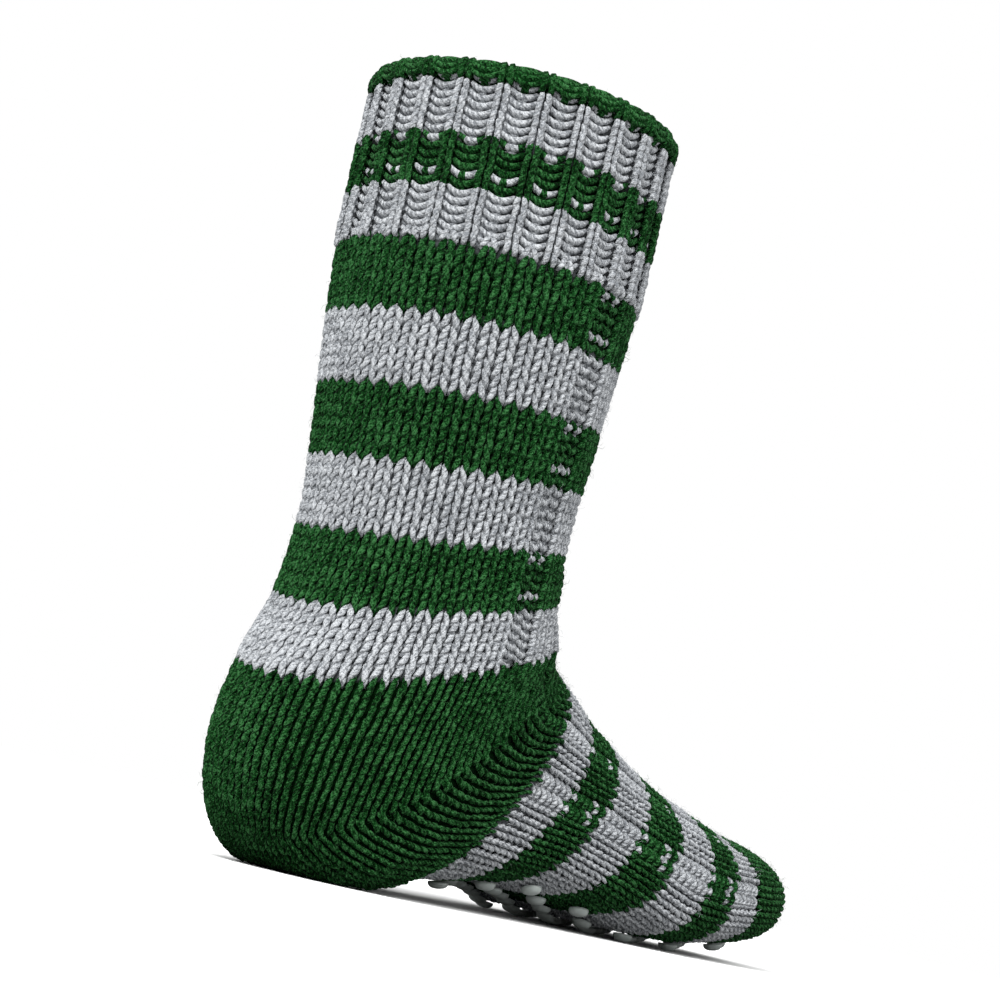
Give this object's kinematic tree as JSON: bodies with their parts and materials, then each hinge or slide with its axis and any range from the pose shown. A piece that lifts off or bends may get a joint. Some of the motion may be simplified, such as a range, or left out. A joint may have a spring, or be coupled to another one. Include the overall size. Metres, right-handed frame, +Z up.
{
  "type": "slipper sock",
  "caption": "Chunky knitted slipper sock with a ribbed cuff, a turned heel, green and grey hoops and soft grip dots under the sole.",
  "frame": {"origin": "on the floor, under the middle of the foot's length and width", "axes": "+Y from the heel to the toes, +Z up the leg, +X to the wearer's right"},
  "size_m": [0.0916, 0.2418, 0.222],
  "materials": {
    "knit": "matt hooped wool-like yarn, dark green and light grey",
    "grip": "soft satin, milky and slightly clear"
  },
  "bodies": {
    "root": {"knitted_sock": "knit", "grip_dot_01": "grip", "grip_dot_02": "grip", "grip_dot_03": "grip", "grip_dot_04": "grip", "grip_dot_05": "grip", "grip_dot_06": "grip", "grip_dot_07": "grip", "grip_dot_08": "grip", "grip_dot_09": "grip", "grip_dot_10": "grip", "grip_dot_11": "grip", "grip_dot_12": "grip", "grip_dot_13": "grip", "grip_dot_14": "grip", "grip_dot_15": "grip", "grip_dot_16": "grip", "grip_dot_17": "grip", "grip_dot_18": "grip", "grip_dot_19": "grip", "grip_dot_20": "grip", "grip_dot_21": "grip", "grip_dot_22": "grip", "grip_dot_23": "grip", "grip_dot_24": "grip", "grip_dot_25": "grip", "grip_dot_26": "grip", "grip_dot_27": "grip", "grip_dot_28": "grip", "grip_dot_29": "grip", "grip_dot_30": "grip", "grip_dot_31": "grip", "grip_dot_32": "grip", "grip_dot_33": "grip", "grip_dot_34": "grip", "grip_dot_35": "grip", "grip_dot_36": "grip", "grip_dot_37": "grip", "grip_dot_38": "grip", "grip_dot_39": "grip", "grip_dot_40": "grip", "grip_dot_41": "grip", "grip_dot_42": "grip", "grip_dot_43": "grip", "grip_dot_44": "grip", "grip_dot_45": "grip", "grip_dot_46": "grip", "grip_dot_47": "grip", "grip_dot_48": "grip", "grip_dot_49": "grip", "grip_dot_50": "grip", "grip_dot_51": "grip", "grip_dot_52": "grip", "grip_dot_53": "grip", "grip_dot_54": "grip", "grip_dot_55": "grip"}
  },
  "joints": []
}
